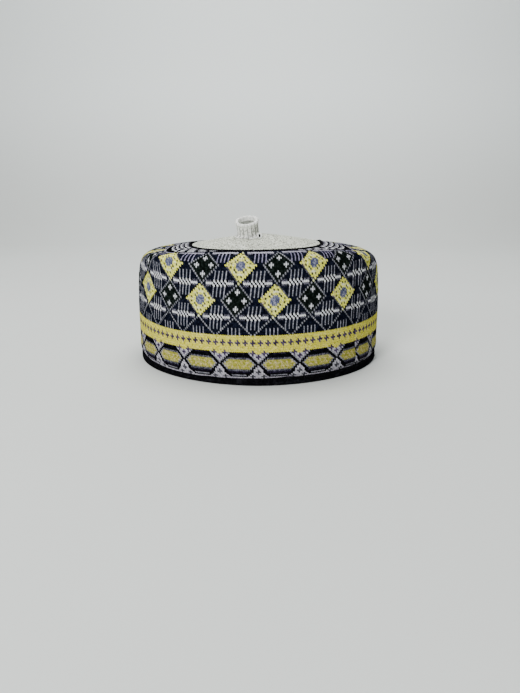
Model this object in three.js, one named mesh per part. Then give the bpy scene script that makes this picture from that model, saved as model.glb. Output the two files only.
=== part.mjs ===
// Knitted brimless cap: a patterned oval wall that rounds over into a top ring, a thin black welt,
// a pale domed crown panel with a short stalk, and a black binding folded round the rim.
// Millimetres. +X is the wearer's front, +Y the wearer's left, +Z up; the origin is the middle of the rim.
import * as THREE from "three";

// Oval wall, measured over the outside
const capLength = 212;
const capWidth = 184.5;
const wallThickness = 3;
// Height of the shoulder at the two ends and at the two sides: the right side stands higher than the left
const endShoulder = 94;
const rightShoulder = 101.8;
const leftShoulder = 95.5;
// Pale crown panel
const crownLength = 108;
const crownWidth = 118;
const crownSquareness = 3.3;
const crownShift = -2;
const crownPeakX = 3;
const crownPeakY = -4;
const crownPeakHeight = 107.4;
const sideSeamHeight = 99;
const endSeamHeight = 101;
const crownFrontLift = 1.4;
const crownThickness = 3;
// Black welt between the top ring and the crown
const weltWidth = 2;
const weltRise = 0.8;
// Binding round the rim
const bindingHeight = 6.2;
const bindingThickness = 1;
const bindingBevel = 0.4;
// Stalk on the crown
const stalkLength = 13.7;
const stalkDiameter = 17.8;
const stalkRecess = 3.5;
const stalkX = -9;
const stalkY = -12;
const stalkLeanRight = THREE.MathUtils.degToRad(21);
const stalkLeanBack = THREE.MathUtils.degToRad(3);
// Sewn pieces meet with this clearance
const seamGap = 0.3;

const stepsAround = 72;
const stalkStepsAround = 32;

// The wall from just above the binding to the crest of its shoulder. Heights are shares of the shoulder's
// height and reaches are shares of half the length (end) and half the width (side).
const wallRows = [
  { endUp: 0.1, sideUp: 0.1, end: 0.997, side: 0.997, squareness: 1.9 },
  { endUp: 0.22, sideUp: 0.22, end: 1, side: 1, squareness: 1.91 },
  { endUp: 0.36, sideUp: 0.36, end: 1, side: 1, squareness: 1.93 },
  { endUp: 0.5, sideUp: 0.5, end: 0.998, side: 0.998, squareness: 1.95 },
  { endUp: 0.63, sideUp: 0.64, end: 0.99, side: 0.992, squareness: 1.98 },
  { endUp: 0.74, sideUp: 0.77, end: 0.976, side: 0.982, squareness: 2.02 },
  { endUp: 0.82, sideUp: 0.87, end: 0.96, side: 0.972, squareness: 2.06 },
  { endUp: 0.88, sideUp: 0.935, end: 0.938, side: 0.96, squareness: 2.1 },
  { endUp: 0.935, sideUp: 0.97, end: 0.905, side: 0.944, squareness: 2.15 },
  { endUp: 0.972, sideUp: 0.99, end: 0.864, side: 0.925, squareness: 2.2 },
  { endUp: 1, sideUp: 1, end: 0.8, side: 0.9, squareness: 2.3 },
];
// Shares of the way from the shoulder's crest to the crown's seam
const ringShares = [0.16, 0.34, 0.52, 0.7, 0.86, 1];
// Shares of the way from the middle of the crown to its seam
const crownShares = [0, 0.25, 0.5, 0.7, 0.84, 0.94, 1];
// The stalk's outline: how far along its length, and its radius as a share of half the diameter
const stalkRows = [
  { along: 0.12, radius: 0.93 },
  { along: 0.45, radius: 0.94 },
  { along: 0.8, radius: 0.98 },
  { along: 0.93, radius: 1 },
  { along: 0.99, radius: 0.95 },
  { along: 1, radius: 0.82 },
  { along: 0.97, radius: 0.66 },
];
const stalkFootRadius = 0.97;
const recessFloorRadius = 0.56;

const wallEdgeReach = 0.994;
const rimSquareness = 1.9;
const domeFullness = 1.45;
const rimInset = bindingThickness + seamGap;
const up = new THREE.Vector3(0, 0, 1);

// A point of a rounded oval: squareness 2 is an ellipse, and more brings the corners out
function ovalPoint(angle, halfLength, halfWidth, squareness, height, shift = 0) {
  const c = Math.cos(angle);
  const s = Math.sin(angle);
  const swell = (Math.abs(c) ** squareness + Math.abs(s) ** squareness) ** (-1 / squareness);
  return new THREE.Vector3(shift + halfLength * c * swell, halfWidth * s * swell, height);
}

function ringOf(steps, pointAt) {
  return Array.from({ length: steps }, (_, i) => pointAt((i / steps) * 2 * Math.PI));
}

// A lathe gives the closed net of triangles, and each of its vertices is set on the ring it belongs to
function skinOver(rings) {
  const steps = rings[0].length;
  const net = new THREE.LatheGeometry(rings.map((_, j) => new THREE.Vector2(1, j)), steps);
  const position = net.getAttribute("position");
  for (let i = 0; i <= steps; i++) {
    rings.forEach((ring, j) => {
      const p = ring[i % steps];
      position.setXYZ(i * rings.length + j, p.x, p.y, p.z);
    });
  }
  net.computeVertexNormals();
  return net;
}

// The same rings moved inwards by one thickness along the surface's own normal
function ringsInside(rings, thickness) {
  const steps = rings[0].length;
  return rings.map((ring, j) => {
    const below = rings[Math.max(j - 1, 0)];
    const above = rings[Math.min(j + 1, rings.length - 1)];
    return ring.map((p, i) => {
      const along = ring[(i + 1) % steps].clone().sub(ring[(i + steps - 1) % steps]);
      const across = above[i].clone().sub(below[i]);
      const outward = along.cross(across).normalize();
      return p.clone().addScaledVector(outward, -thickness);
    });
  });
}

// How much of the end's height counts at this angle: the rear falls away sooner than the front
function endShare(angle) {
  const c = Math.cos(angle);
  return c < 0 ? c ** 2 : c ** 4;
}

function sideShoulder(angle) {
  return Math.sin(angle) < 0 ? rightShoulder : leftShoulder;
}

function heightAt(angle, endUp, sideUp) {
  const share = endShare(angle);
  return share * endUp * endShoulder + (1 - share) * sideUp * sideShoulder(angle);
}

// The crown's seam is higher at the ends than at the sides, and higher in front than behind
function seamHeight(angle) {
  const c = Math.cos(angle);
  return sideSeamHeight + (endSeamHeight - sideSeamHeight) * c ** 2 + (crownFrontLift / 2) * c;
}

// A point of the crown: share 0 is its peak and 1 its seam
function crownPoint(angle, share) {
  const seam = ovalPoint(angle, crownLength / 2, crownWidth / 2, crownSquareness, seamHeight(angle), crownShift);
  const p = new THREE.Vector3(crownPeakX, crownPeakY, 0).lerp(seam, share);
  p.z = crownPeakHeight - (crownPeakHeight - seam.z) * share ** domeFullness;
  return p;
}

// The crown's height over a point of the plan, found along the line from the peak to the seam
function crownHeight(x, y) {
  const reachAt = (angle) => {
    const edge = crownPoint(angle, 1);
    const across = (edge.x - crownPeakX) * (y - crownPeakY) - (edge.y - crownPeakY) * (x - crownPeakX);
    const along = (edge.x - crownPeakX) * (x - crownPeakX) + (edge.y - crownPeakY) * (y - crownPeakY);
    return { miss: Math.atan2(across, along), edge };
  };
  let angle = Math.atan2(y - crownPeakY, x - crownPeakX);
  for (let turn = 0; turn < 20; turn++) angle += reachAt(angle).miss;
  const edge = reachAt(angle).edge;
  const share = Math.hypot(x - crownPeakX, y - crownPeakY) / Math.hypot(edge.x - crownPeakX, edge.y - crownPeakY);
  return crownPoint(angle, share).z;
}

// An oval that follows the crown's seam at some distance outside it
function seamRing(outside, rise) {
  return ringOf(stepsAround, (angle) => {
    const halfLength = crownLength / 2 + outside;
    const halfWidth = crownWidth / 2 + outside;
    const height = seamHeight(angle) + rise;
    return ovalPoint(angle, halfLength, halfWidth, crownSquareness, height, crownShift);
  });
}

// An upright oval set in from the wall's lower edge
function rimRing(inset, height) {
  const halfLength = (capLength / 2) * wallEdgeReach - inset;
  const halfWidth = (capWidth / 2) * wallEdgeReach - inset;
  return ringOf(stepsAround, (angle) => ovalPoint(angle, halfLength, halfWidth, rimSquareness, height));
}

function wallRing(row) {
  return ringOf(stepsAround, (angle) => {
    const height = heightAt(angle, row.endUp, row.sideUp);
    return ovalPoint(angle, (capLength / 2) * row.end, (capWidth / 2) * row.side, row.squareness, height);
  });
}

function topRings() {
  const crest = wallRing(wallRows.at(-1));
  const seam = seamRing(2 * seamGap + weltWidth, 0);
  return ringShares.map((share) =>
    crest.map((p, i) => {
      const q = p.clone().lerp(seam[i], share);
      q.z = THREE.MathUtils.lerp(p.z, seam[i].z, THREE.MathUtils.smoothstep(share, 0, 1));
      return q;
    }),
  );
}

function sideWall() {
  const upper = [...wallRows.map(wallRing), ...topRings()];
  const upperInside = ringsInside(upper, wallThickness);
  upperInside[upper.length - 1] = seamRing(2 * seamGap + weltWidth, -wallThickness);
  const edge = [bindingThickness + seamGap, bindingHeight + seamGap];
  const outside = [...edge.map((z) => rimRing(rimInset, z)), ...upper];
  const inside = [...edge.map((z) => rimRing(rimInset + wallThickness, z)), ...upperInside];
  return skinOver([...outside, ...inside.reverse(), outside[0]]);
}

function crownWelt() {
  const inner = seamGap;
  const outer = seamGap + weltWidth;
  const rings = [
    seamRing(outer, -wallThickness),
    seamRing(outer, 0),
    seamRing((inner + outer) / 2, weltRise),
    seamRing(inner, 0),
    seamRing(inner, -wallThickness),
  ];
  return skinOver([...rings, rings[0]]);
}

function crownRing(share, drop) {
  return ringOf(stepsAround, (angle) => {
    const p = crownPoint(angle, share);
    p.z -= drop;
    return p;
  });
}

function crown() {
  const top = crownShares.map((share) => crownRing(share, 0));
  const under = crownShares.map((share) => crownRing(share, crownThickness));
  return skinOver([...under, ...top.reverse()]);
}

function stalk() {
  const axis = new THREE.Vector3(-Math.tan(stalkLeanBack), -Math.tan(stalkLeanRight), 1).normalize();
  const foot = new THREE.Vector3(stalkX, stalkY, crownHeight(stalkX, stalkY) + seamGap);
  const turn = new THREE.Quaternion().setFromUnitVectors(up, axis);
  const ringAt = (along, radius) =>
    ringOf(stalkStepsAround, (angle) => {
      const reach = (radius * stalkDiameter) / 2;
      const p = new THREE.Vector3(reach * Math.cos(angle), reach * Math.sin(angle), along * stalkLength);
      return p.applyQuaternion(turn).add(foot);
    });
  // The foot's edge slides along the stalk until it stands one clearance above the crown
  const footRing = ringAt(0, stalkFootRadius).map((p) => {
    const clear = crownHeight(p.x, p.y) + seamGap - p.z;
    return p.addScaledVector(axis, clear / axis.z);
  });
  const floor = 1 - stalkRecess / stalkLength;
  const rings = [
    ringAt(0, 0),
    footRing,
    ...stalkRows.map((row) => ringAt(row.along, row.radius)),
    ringAt(floor, recessFloorRadius),
    ringAt(floor, 0),
  ];
  return skinOver(rings);
}

// Tape folded round the wall's lower edge: an outer leg, a flat underside and an inner leg
function rimBinding() {
  const channelOut = bindingThickness;
  const channelIn = bindingThickness + 2 * seamGap + wallThickness;
  const full = channelIn + bindingThickness;
  const rings = [
    rimRing(bindingBevel, 0),
    rimRing(0, bindingBevel),
    rimRing(0, bindingHeight),
    rimRing(channelOut, bindingHeight),
    rimRing(channelOut, bindingThickness),
    rimRing(channelIn, bindingThickness),
    rimRing(channelIn, bindingHeight),
    rimRing(full, bindingHeight),
    rimRing(full, bindingBevel),
    rimRing(full - bindingBevel, 0),
  ];
  return skinOver([...rings, rings[0]]);
}

function yarn(colour, roughness) {
  return new THREE.MeshStandardMaterial({ color: colour, roughness, metalness: 0 });
}

function piece(name, geometry, material) {
  const mesh = new THREE.Mesh(geometry, material);
  mesh.name = name;
  return mesh;
}

const cap = new THREE.Group();
cap.add(
  piece("side_wall", sideWall(), yarn(0x23232f, 0.9)),
  piece("crown_welt", crownWelt(), yarn(0x111114, 0.95)),
  piece("crown", crown(), yarn(0xe9e6dd, 0.9)),
  piece("stalk", stalk(), yarn(0xece9e0, 0.9)),
  piece("rim_binding", rimBinding(), yarn(0x141416, 0.95)),
);

export default cap;
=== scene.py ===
# The knitted cap's looks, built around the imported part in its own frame.
# +X is the wearer's front, +Y the wearer's left, +Z up. Sizes are in millimetres until a mesh is made.
import math

import bpy
import numpy as np
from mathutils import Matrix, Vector


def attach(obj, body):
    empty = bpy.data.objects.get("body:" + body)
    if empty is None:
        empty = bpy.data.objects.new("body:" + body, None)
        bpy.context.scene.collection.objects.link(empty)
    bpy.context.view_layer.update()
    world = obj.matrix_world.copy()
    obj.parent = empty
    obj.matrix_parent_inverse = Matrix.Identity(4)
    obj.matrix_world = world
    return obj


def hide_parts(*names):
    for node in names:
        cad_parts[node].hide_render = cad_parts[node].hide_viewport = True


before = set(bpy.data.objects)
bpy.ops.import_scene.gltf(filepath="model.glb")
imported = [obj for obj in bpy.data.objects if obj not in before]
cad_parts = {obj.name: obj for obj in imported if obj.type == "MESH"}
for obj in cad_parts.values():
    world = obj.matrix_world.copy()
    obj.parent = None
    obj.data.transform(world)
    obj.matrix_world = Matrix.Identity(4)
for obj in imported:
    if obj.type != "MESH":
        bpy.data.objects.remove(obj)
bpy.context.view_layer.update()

METRES = 0.001
TURN = 2 * math.pi

# The cap's sizes, as in the solids but for the stub's place, length and lean, the crown seam's
# sag and the squarer ends of the wall, which follow the photograph more closely
CAP_LENGTH = 212.0
CAP_WIDTH = 184.5
WALL_THICKNESS = 3.0
END_SHOULDER = 94.0
RIGHT_SHOULDER = 101.8
LEFT_SHOULDER = 95.5
SHOULDER_BLEND = 6.0
CROWN_LENGTH = 108.0
CROWN_WIDTH = 118.0
CROWN_SQUARENESS = 3.3
CROWN_SHIFT = -2.0
CROWN_PEAK = (3.0, -4.0, 107.4)
SIDE_SEAM_HEIGHT = 99.0
END_SEAM_HEIGHT = 101.0
LEFT_SEAM_SAG = 4.4
# Where the sag starts and how far it runs to its full depth, as sines of the angle
SAG_START = -0.2
SAG_RUN = 0.9
CROWN_FRONT_LIFT = 1.4
CROWN_THICKNESS = 3.0
DOME_FULLNESS = 1.45
WELT_WIDTH = 2.0
BINDING_HEIGHT = 6.2
BINDING_THICKNESS = 1.0
STALK_LENGTH = 14.2
STALK_DIAMETER = 17.8
STALK_X = -8.3
STALK_Y = -14.5
STALK_LEAN_RIGHT = math.radians(21)
STALK_LEAN_BACK = math.radians(6)
SEAM_GAP = 0.3
WALL_EDGE_REACH = 0.994
RIM_SQUARENESS = 1.9
RIM_INSET = BINDING_THICKNESS + SEAM_GAP

# Rows of the wall: height shares at the ends and sides, reach at the end and side, squareness
WALL_ROWS = [
    (0.1, 0.1, 0.997, 0.997, 1.9),
    (0.22, 0.22, 1.0, 1.0, 1.91),
    (0.36, 0.36, 1.0, 1.0, 1.93),
    (0.5, 0.5, 0.998, 0.998, 1.95),
    (0.63, 0.64, 0.993, 0.992, 1.98),
    (0.745, 0.77, 0.986, 0.982, 2.02),
    (0.835, 0.87, 0.976, 0.972, 2.06),
    (0.905, 0.935, 0.96, 0.96, 2.1),
    (0.957, 0.97, 0.934, 0.944, 2.15),
    (0.987, 0.99, 0.895, 0.925, 2.2),
    (1.0, 1.0, 0.83, 0.9, 2.3),
]
RING_SHARES = [0.16, 0.34, 0.52, 0.7, 0.86, 1.0]

# The knitting: stitches round the cap and rows from the binding to the crown
STITCHES = 441
ROWS = 80
# Knit rows against the share of the way from the binding's top to the crown's seam
ROW_MARKS = [-4.0, 0.0, 3.0, 6.0, 15.25, 23.0, 32.25, 40.25, 48.25, 56.25, 64.25, 80.0]
SHARE_MARKS = [-0.038, 0.0, 0.029, 0.0695, 0.182, 0.287, 0.396, 0.501, 0.606, 0.718, 0.796, 1.0]
# The rows climb a little towards the two ends of the oval, less towards the front.
# The climb starts and ends at a row, over a number of rows
END_RISE = 0.036
RISE_STARTS = (14, 24)
RISE_ENDS = (60, 20)
FRONT_FALL = 0.75
FRONT_PLACE = 70.0
FRONT_SPAN = 60.0
# At the right rear shoulder the top rows swing back and up
SHOULDER_LEVEL = 75.0
SHOULDER_SPAN = 20.0
SHOULDER_PLACE = -44.0
SHOULDER_REACH = 60.0
SHOULDER_END = -164.0
SHOULDER_SWING = 10.0
SHOULDER_RISE = 0.018
# At the right front shoulder they swing forward
FRONT_SWING = 4.0
FRONT_SWING_PLACE = 68.0
FRONT_SWING_REACH = 30.0
FRONT_SWING_END = 188.0
# On the right rear the binding sits lower and the lowest rows follow it down
DIP_PLACE = -62.0
DIP_REACH = 42.0
DIP_SHARE = 0.013
DIP_ROWS = 10
# The side seam stands this far along the wall from its nearest point to the camera
SEAM_PLACE = 83.3
# The stitches are spread a little on the side that faces the camera
NEAR_STRETCH = 1.8
# The stitch columns lean between two levels, but not beside the side seam
WALE_LEAN = 0.12
LEAN_LEVEL = 67.0
LEAN_LOW = 48.0
LEAN_HIGH = 100.0
STRAIGHT_PLACE = 82.0
STRAIGHT_REACH = 38.0
# The side seam swings to the front below a level
SEAM_DRIFT = 5.5
DRIFT_LEVEL = 40.0
DRIFT_SPAN = 30.0
DRIFT_PLACE = 88.0
DRIFT_REACH = 30.0
# Length of the wall's line from the binding's top to the crown's seam
WALL_CLIMB = 120.7
# How fast the ends' shoulder height gives way to the sides'
BACK_POWER = 2
FRONT_POWER = 4
# Corrections of the angle before a point of the plan is found on the crown
PLAN_STEPS = 20


def oval(angle, half_length, half_width, squareness, height, shift=0.0):
    c, s = np.cos(angle), np.sin(angle)
    swell = (np.abs(c) ** squareness + np.abs(s) ** squareness) ** (-1 / squareness)
    return np.stack([shift + half_length * c * swell, half_width * s * swell, height + 0 * c], -1)


def end_share(angle):
    """One at the two ends of the oval, zero at its sides."""
    c = np.cos(angle)
    return np.where(c < 0, c**BACK_POWER, c**FRONT_POWER)


def height_at(angle, end_up, side_up):
    """Height on the wall, from its shares at the ends and at the sides."""
    share = end_share(angle)
    blend = 1 / (1 + np.exp(np.sin(angle) * SHOULDER_BLEND))
    side = LEFT_SHOULDER + (RIGHT_SHOULDER - LEFT_SHOULDER) * blend
    return share * end_up * END_SHOULDER + (1 - share) * side_up * side


def seam_height(angle):
    """Height of the crown's seam, which sags a little on the wearer's left."""
    c = np.cos(angle)
    sag = LEFT_SEAM_SAG * smoothstep((np.sin(angle) - SAG_START) / SAG_RUN)
    lift = (END_SEAM_HEIGHT - SIDE_SEAM_HEIGHT) * c**2 + CROWN_FRONT_LIFT / 2 * c
    return SIDE_SEAM_HEIGHT + lift - sag


def seam_ring(angle, outside, rise):
    half_length = CROWN_LENGTH / 2 + outside
    half_width = CROWN_WIDTH / 2 + outside
    return oval(angle, half_length, half_width, CROWN_SQUARENESS, seam_height(angle) + rise, CROWN_SHIFT)


def rim_ring(angle, inset, height):
    half_length = CAP_LENGTH / 2 * WALL_EDGE_REACH - inset
    half_width = CAP_WIDTH / 2 * WALL_EDGE_REACH - inset
    return oval(angle, half_length, half_width, RIM_SQUARENESS, height)


def crown_point(angle, share):
    """Point of the crown, by its share of the way from the peak to the seam."""
    seam = seam_ring(angle, 0, 0)
    share = np.asarray(share, float)[..., None]
    peak = np.array(CROWN_PEAK)
    p = peak + (seam - peak) * share
    p[..., 2:] = peak[2] - (peak[2] - seam[..., 2:]) * share**DOME_FULLNESS
    return p


def crown_height(x, y):
    """Height of the crown over a point of the plan."""
    px, py = x - CROWN_PEAK[0], y - CROWN_PEAK[1]
    angle = math.atan2(py, px)
    for _ in range(PLAN_STEPS):
        edge = crown_point(np.array(angle), 1.0)
        ex, ey = edge[0] - CROWN_PEAK[0], edge[1] - CROWN_PEAK[1]
        angle += math.atan2(ex * py - ey * px, ex * px + ey * py)
    return float(crown_point(np.array(angle), math.hypot(px, py) / math.hypot(ex, ey))[2])


def smoothstep(x):
    x = np.clip(x, 0, 1)
    return x * x * (3 - 2 * x)


# The wall's outer surface as a fine net over the angle and the share of the way up
NET_ANGLES = 1440
NET_SHARES = 401
SHARE_LOW = SHARE_MARKS[0]
SPAN_STEPS = 24
# The binding's top lies within this many spans from the rim
RIM_SPANS = 4


def wall_rings(angle):
    """Rings of the wall's outer surface, from the rim to the crown's seam."""
    rings = [rim_ring(angle, RIM_INSET, z) for z in (RIM_INSET, BINDING_HEIGHT + SEAM_GAP)]
    for end_up, side_up, end, side, squareness in WALL_ROWS:
        height = height_at(angle, end_up, side_up)
        rings.append(oval(angle, CAP_LENGTH / 2 * end, CAP_WIDTH / 2 * side, squareness, height))
    crest = rings[-1]
    seam = seam_ring(angle, 2 * SEAM_GAP + WELT_WIDTH, 0)
    for share in RING_SHARES:
        ring = crest + (seam - crest) * share
        ring[..., 2] = crest[..., 2] + (seam[..., 2] - crest[..., 2]) * smoothstep(share)
        rings.append(ring)
    return np.array(rings)


def smooth_through(rings):
    """A smooth line through each column of the rings, in short steps."""
    step = np.linalg.norm(np.diff(rings, axis=0), axis=2).mean(1)
    slope = np.diff(rings, axis=0) / step[:, None, None]
    tangent = np.concatenate([slope[:1], slope[:1], slope[1:]])
    for k in range(1, len(step)):
        tangent[k] = (step[k] * slope[k - 1] + step[k - 1] * slope[k]) / (step[k - 1] + step[k])
    out = [rings[:1]]
    for k, length in enumerate(step):
        t = (np.arange(1, SPAN_STEPS + 1) / SPAN_STEPS)[:, None, None]
        out.append(
            (2 * t**3 - 3 * t**2 + 1) * rings[k]
            + (t**3 - 2 * t**2 + t) * length * tangent[k]
            + (3 * t**2 - 2 * t**3) * rings[k + 1]
            + (t**3 - t**2) * length * tangent[k + 1]
        )
    return np.concatenate(out)


def wall_net():
    angle = np.arange(NET_ANGLES) / NET_ANGLES * TURN
    lines = smooth_through(wall_rings(angle))
    shares = np.linspace(SHARE_LOW, 1, NET_SHARES)
    net = np.zeros((NET_ANGLES, NET_SHARES, 3))
    for i in range(NET_ANGLES):
        line = lines[:, i]
        arc = np.concatenate([[0], np.cumsum(np.linalg.norm(np.diff(line, axis=0), axis=1))])
        low = RIM_SPANS * SPAN_STEPS
        start = np.interp(BINDING_HEIGHT, line[:low, 2], arc[:low])
        wanted = start + shares * (arc[-1] - start)
        for axis in range(3):
            net[i, :, axis] = np.interp(wanted, arc, line[:, axis])
    return net


def net_normals(net):
    along = np.roll(net, -1, 0) - np.roll(net, 1, 0)
    across = np.gradient(net, axis=1)
    normal = np.cross(along, across)
    return normal / np.linalg.norm(normal, axis=2, keepdims=True)


def on_net(values, angle, share):
    """The net's value at any angle and share."""
    a = np.mod(angle, TURN) / TURN * NET_ANGLES
    k = np.clip((share - SHARE_LOW) / (1 - SHARE_LOW), 0, 1) * (NET_SHARES - 1)
    a0 = np.floor(a).astype(int)
    k0 = np.minimum(np.floor(k).astype(int), NET_SHARES - 2)
    past_angle, past_share = (a - a0)[..., None], (k - k0)[..., None]
    a0 %= NET_ANGLES
    a1 = (a0 + 1) % NET_ANGLES
    low = values[a0, k0] * (1 - past_angle) + values[a1, k0] * past_angle
    high = values[a0, k0 + 1] * (1 - past_angle) + values[a1, k0 + 1] * past_angle
    return low * (1 - past_share) + high * past_share


WALL = wall_net()
WALL_NORMALS = net_normals(WALL)

# Lengths along the wall's middle oval, against the angle
ARC_STEPS = 20000
MIDDLE_SQUARENESS = 1.95
# The angle that faces the photograph's camera
NEAR_ANGLE = 1.5 * math.pi
oval_angles = np.linspace(0, TURN, ARC_STEPS + 1)
oval_line = oval(oval_angles, CAP_LENGTH / 2, CAP_WIDTH / 2, MIDDLE_SQUARENESS, 0)
oval_arc = np.concatenate([[0], np.cumsum(np.linalg.norm(np.diff(oval_line, axis=0), axis=1))])
GIRTH = oval_arc[-1]
NEAR_ARC = np.interp(NEAR_ANGLE, oval_angles, oval_arc)


def bell(x, middle, reach):
    return np.exp(-(((x - middle) / reach) ** 2))


def stitch_place(border, row):
    """Angle and share of a stitch's corner: borders count to the right from the side seam."""
    place = SEAM_PLACE + border * GIRTH / STITCHES
    place = np.mod(place + GIRTH / 2, GIRTH) - GIRTH / 2
    around = TURN * place / GIRTH
    place = place + NEAR_STRETCH * np.sin(around)
    share = np.interp(row, ROW_MARKS, SHARE_MARKS)
    level = BINDING_HEIGHT + share * WALL_CLIMB
    straight = bell(place, STRAIGHT_PLACE, STRAIGHT_REACH)
    lean = WALE_LEAN * (1 - straight) * (np.clip(level, LEAN_LOW, LEAN_HIGH) - LEAN_LEVEL)
    below = np.clip((DRIFT_LEVEL - level) / DRIFT_SPAN, 0, 1)
    drift = SEAM_DRIFT * below * bell(place, DRIFT_PLACE, DRIFT_REACH)
    high = smoothstep((level - SHOULDER_LEVEL) / SHOULDER_SPAN)
    rear = smoothstep((SHOULDER_PLACE - place) / SHOULDER_REACH)
    rear = rear * (1 - smoothstep((SHOULDER_END - place) / SHOULDER_REACH)) * high
    ahead = smoothstep((place - FRONT_SWING_PLACE) / FRONT_SWING_REACH)
    ahead = ahead * smoothstep((FRONT_SWING_END - place) / FRONT_SWING_REACH) * high
    swing = FRONT_SWING * ahead - SHOULDER_SWING * rear
    arc = np.mod(NEAR_ARC + place + lean + drift + swing, GIRTH)
    climbing = smoothstep((row - RISE_STARTS[0]) / RISE_STARTS[1])
    climbing = climbing * (1 - smoothstep((row - RISE_ENDS[0]) / RISE_ENDS[1]))
    front = FRONT_FALL * smoothstep((place - FRONT_PLACE) / FRONT_SPAN)
    share = share + END_RISE * climbing * np.sin(around) ** 2 * (1 - front)
    share = share + SHOULDER_RISE * rear * np.clip((ROWS - row) / RISE_ENDS[1], 0, 1)
    dipping = np.where(row < 0, 1 - row / ROW_MARKS[0], 1 - smoothstep(row / DIP_ROWS))
    share = share - DIP_SHARE * bell(place, DIP_PLACE, DIP_REACH) * dipping
    return np.interp(arc, oval_arc, oval_angles), share


# The pattern, one letter of yarn to a stitch
COLUMN_PITCH = 20
FIRST_COLUMN = 10
LATTICE_ROWS = 16
FIRST_BAR = 32
FIRST_DIAMOND = 40
DIAMOND_REACH = 8
BAND_ROWS = (15, 23)
TOP_BAR = 64
RING_START = 69
LILAC_START = 56
HEXAGON_MIDDLE = 8
HEXAGON_PITCH = 21.395
FIRST_HEXAGON = 14.5

# Plain rows of the hexagon band, from the binding up
HEXAGON_LINES = ["X", "K", "G", "K", "U", "H", "Q", "Q", "Q", "Q", "Q", "H", "K", "K", "U"]
# Half of the small triangles, from their middle outwards, by rows away from the crossing
LOWER_TRIANGLE = ["", "X", "XX", "PXX", "PPX", "PXXX", "XXXPX", "XXPPPX", "XXXPXX"]
UPPER_TRIANGLE = ["", "G", "XG", "VXG", "VVXG", "VXXVX", "YYVVVG"]

# The crossing's own row, and the lowest row and the width of the hexagons' outline
CROSSING_ROW = "KKG"
OUTLINE_START = 2
OUTLINE_STITCHES = 2
FLECK_PITCH = 3
# The small crosses on the yellow band, and its notches beside each crossing
CROSS_PITCH = 4
CROSS_ROW = 19
NOTCH_PLACE = 3
# Inside the diamonds: places across and up from the middle
EYE_REACH = (2, 2, 1)
OLIVE_DOTS = ((3, 2), (2, 3), (1, 5), (5, 1), (0, 7))
CREAM_DOTS = ((0, 4), (4, 0), (1, 4), (3, 3))
MUSTARD_END = -4
BLACK_CROSSES = ((4, 0), (-4, 0), (0, 4), (0, -4))
# The lattice: bars woven at their middles, upright lines through them, nodes between
LINE_PLACES = (1, 3)
LINE_ROWS = (-6, -5, -4, -3, -2, 2, 3, 4, 5)
LOW_LINES_END = 27
NODE_REACH = 2
WEAVE_REACH = 4
# The top ring's dashes
RING_ROWS = 3
DASH_PITCH = 8
DASH_STITCHES = 5
DASH_SHIFT = 5


def crossing(n):
    """The stitch where the nearest two hexagons meet."""
    k = round((n - FIRST_HEXAGON) / HEXAGON_PITCH)
    return math.floor(FIRST_HEXAGON + k * HEXAGON_PITCH)


def hexagon_stitch(n, row):
    across = abs(n - crossing(n))
    away = row - HEXAGON_MIDDLE
    plain = HEXAGON_LINES[row]
    if away == 0:
        return CROSSING_ROW[across] if across < len(CROSSING_ROW) else plain
    triangle = (UPPER_TRIANGLE if away > 0 else LOWER_TRIANGLE)[abs(away)]
    if across < len(triangle):
        return triangle[across]
    stroke = across - len(triangle)
    if stroke < OUTLINE_STITCHES and row >= OUTLINE_START:
        return "K"
    if plain == "Q" and stroke == OUTLINE_STITCHES:
        return "G"
    if plain == "Q" and abs(away) <= 1 and (n + row) % FLECK_PITCH == 0:
        return "M"
    return plain


def band_stitch(n, row):
    across = (n + CROSS_PITCH // 2) % CROSS_PITCH - CROSS_PITCH // 2
    if abs(across) + abs(row - CROSS_ROW) <= 1:
        return "V"
    if row == BAND_ROWS[0] and abs(n - crossing(n)) == NOTCH_PLACE:
        return "V"
    return "Y"


def yellow_stitch(dx, dy):
    ax, ay = abs(dx), abs(dy)
    if ax + ay == DIAMOND_REACH:
        if ax == 0:
            return "C"
        return "H" if dx * dy > 0 else "A"
    if ax < len(EYE_REACH) and ay <= EYE_REACH[ax]:
        return "B"
    if (ax, ay) in OLIVE_DOTS:
        return "O"
    if (ax, ay) in CREAM_DOTS:
        return "C"
    if dx < MUSTARD_END and ay == 1:
        return "M"
    return "A"


def black_stitch(dx, dy):
    if abs(dx) + abs(dy) == DIAMOND_REACH:
        return "S"
    for cx, cy in BLACK_CROSSES:
        away = abs(dx - cx) + abs(dy - cy)
        if away <= 1:
            return "W" if away == 0 else "Z"
    return "D"


def lattice_stitch(n, row):
    k = n // COLUMN_PITCH
    dx = FIRST_COLUMN + COLUMN_PITCH * k - n
    from_middle = (n + COLUMN_PITCH // 2) % COLUMN_PITCH - COLUMN_PITCH // 2
    bar = FIRST_BAR + LATTICE_ROWS * round((row - FIRST_BAR) / LATTICE_ROWS)
    from_bar = row - bar
    on_line = abs(from_middle) in LINE_PLACES
    off_node = abs(dx) > NODE_REACH
    if bar == TOP_BAR and from_bar >= 0 and off_node:
        return "E" if from_bar == 0 else "K"
    if bar == TOP_BAR and from_bar == -1 and on_line:
        return "T"
    if abs(from_bar) <= 1 and off_node:
        if abs(from_middle) <= WEAVE_REACH:
            return "W" if (from_bar + from_middle) % 2 == 0 else "K"
        return "W" if from_bar == 0 else "H"
    if on_line and from_bar in LINE_ROWS:
        return "T" if row >= LILAC_START else "L"
    if row < FIRST_BAR:
        if abs(dx) == FIRST_BAR - row:
            return "S"
        return "L" if abs(dx) in LINE_PLACES and row < LOW_LINES_END else "N"
    q = min((row - FIRST_BAR) // LATTICE_ROWS, 1)
    dy = row - FIRST_DIAMOND - LATTICE_ROWS * q
    if abs(dx) + abs(dy) > DIAMOND_REACH or row > TOP_BAR:
        return "N"
    return yellow_stitch(dx, dy) if (k + q) % 2 == 0 else black_stitch(dx, dy)


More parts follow.
